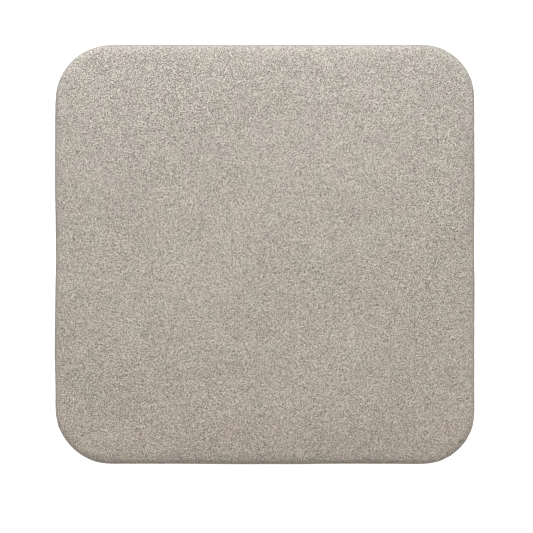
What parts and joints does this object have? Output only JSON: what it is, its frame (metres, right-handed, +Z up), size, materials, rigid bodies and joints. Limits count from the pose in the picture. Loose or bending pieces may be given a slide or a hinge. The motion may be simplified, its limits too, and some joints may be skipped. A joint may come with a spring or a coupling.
{
  "type": "shower stool",
  "caption": "Height-adjustable shower stool: square terry-covered padded seat with rounded corners on splayed tube legs with snap buttons and rubber feet.",
  "frame": {"origin": "on the floor under the middle of the seat, with the legs drawn out to their highest setting", "axes": "+Z up, -Y the front, +X to the right of someone facing the front; the seat is the same from all four sides"},
  "size_m": [0.38, 0.38, 0.54],
  "materials": {
    "terry": "looped terry towelling, greige",
    "foam": "closed-cell foam",
    "elastic": "covered elastic cord",
    "board_plastic": "moulded, fine texture",
    "socket_plastic": "moulded, fine texture",
    "aluminium": "satin anodised",
    "steel": "satin stainless",
    "spring_steel": "tempered strip",
    "rubber": "matte"
  },
  "bodies": {
    "seat": {"seat_cover": "terry", "foam_pad": "foam", "cover_elastic": "elastic", "seat_board": "board_plastic", "leg_socket_front_left": "socket_plastic", "socket_screw_a_front_left": "steel", "socket_screw_b_front_left": "steel", "leg_tube_front_left": "aluminium", "leg_collar_front_left": "socket_plastic", "leg_rivet_front_left": "steel", "brace_clip_front_left": "socket_plastic", "brace_screw_front_left": "steel", "leg_socket_front_right": "socket_plastic", "socket_screw_a_front_right": "steel", "socket_screw_b_front_right": "steel", "leg_tube_front_right": "aluminium", "leg_collar_front_right": "socket_plastic", "leg_rivet_front_right": "steel", "brace_clip_front_right": "socket_plastic", "brace_screw_front_right": "steel", "leg_socket_back_right": "socket_plastic", "socket_screw_a_back_right": "steel", "socket_screw_b_back_right": "steel", "leg_tube_back_right": "aluminium", "leg_collar_back_right": "socket_plastic", "leg_rivet_back_right": "steel", "brace_clip_back_right": "socket_plastic", "brace_screw_back_right": "steel", "leg_socket_back_left": "socket_plastic", "socket_screw_a_back_left": "steel", "socket_screw_b_back_left": "steel", "leg_tube_back_left": "aluminium", "leg_collar_back_left": "socket_plastic", "leg_rivet_back_left": "steel", "brace_clip_back_left": "socket_plastic", "brace_screw_back_left": "steel", "brace_strip_upper": "aluminium", "brace_strip_lower": "aluminium", "brace_spacer": "socket_plastic", "brace_rivet": "steel"},
    "leg_front_left": {"leg_extension_front_left": "aluminium", "foot_front_left": "rubber", "button_spring_front_left": "spring_steel"},
    "button_front_left": {"snap_button_front_left": "steel"},
    "leg_front_right": {"leg_extension_front_right": "aluminium", "foot_front_right": "rubber", "button_spring_front_right": "spring_steel"},
    "button_front_right": {"snap_button_front_right": "steel"},
    "leg_back_right": {"leg_extension_back_right": "aluminium", "foot_back_right": "rubber", "button_spring_back_right": "spring_steel"},
    "button_back_right": {"snap_button_back_right": "steel"},
    "leg_back_left": {"leg_extension_back_left": "aluminium", "foot_back_left": "rubber", "button_spring_back_left": "spring_steel"},
    "button_back_left": {"snap_button_back_left": "steel"}
  },
  "joints": [
    {"name": "height_front_left", "type": "slide", "parent": "seat", "child": "leg_front_left", "axis": [0.0555, 0.0555, 0.9969], "range_m": [0, 0.12]},
    {"name": "press_front_left", "type": "slide", "parent": "leg_front_left", "child": "button_front_left", "axis": [0.7049, 0.7049, -0.0785], "range_m": [0, 0.004], "stiffness_N_per_m": 2500, "springref_m": -0.002, "deforming": ["button_spring_front_left"]},
    {"name": "height_front_right", "type": "slide", "parent": "seat", "child": "leg_front_right", "axis": [-0.0555, 0.0555, 0.9969], "range_m": [0, 0.12]},
    {"name": "press_front_right", "type": "slide", "parent": "leg_front_right", "child": "button_front_right", "axis": [-0.7049, 0.7049, -0.0785], "range_m": [0, 0.004], "stiffness_N_per_m": 2500, "springref_m": -0.002, "deforming": ["button_spring_front_right"]},
    {"name": "height_back_right", "type": "slide", "parent": "seat", "child": "leg_back_right", "axis": [-0.0555, -0.0555, 0.9969], "range_m": [0, 0.12]},
    {"name": "press_back_right", "type": "slide", "parent": "leg_back_right", "child": "button_back_right", "axis": [-0.7049, -0.7049, -0.0785], "range_m": [0, 0.004], "stiffness_N_per_m": 2500, "springref_m": -0.002, "deforming": ["button_spring_back_right"]},
    {"name": "height_back_left", "type": "slide", "parent": "seat", "child": "leg_back_left", "axis": [0.0555, -0.0555, 0.9969], "range_m": [0, 0.12]},
    {"name": "press_back_left", "type": "slide", "parent": "leg_back_left", "child": "button_back_left", "axis": [0.7049, -0.7049, -0.0785], "range_m": [0, 0.004], "stiffness_N_per_m": 2500, "springref_m": -0.002, "deforming": ["button_spring_back_left"]}
  ]
}
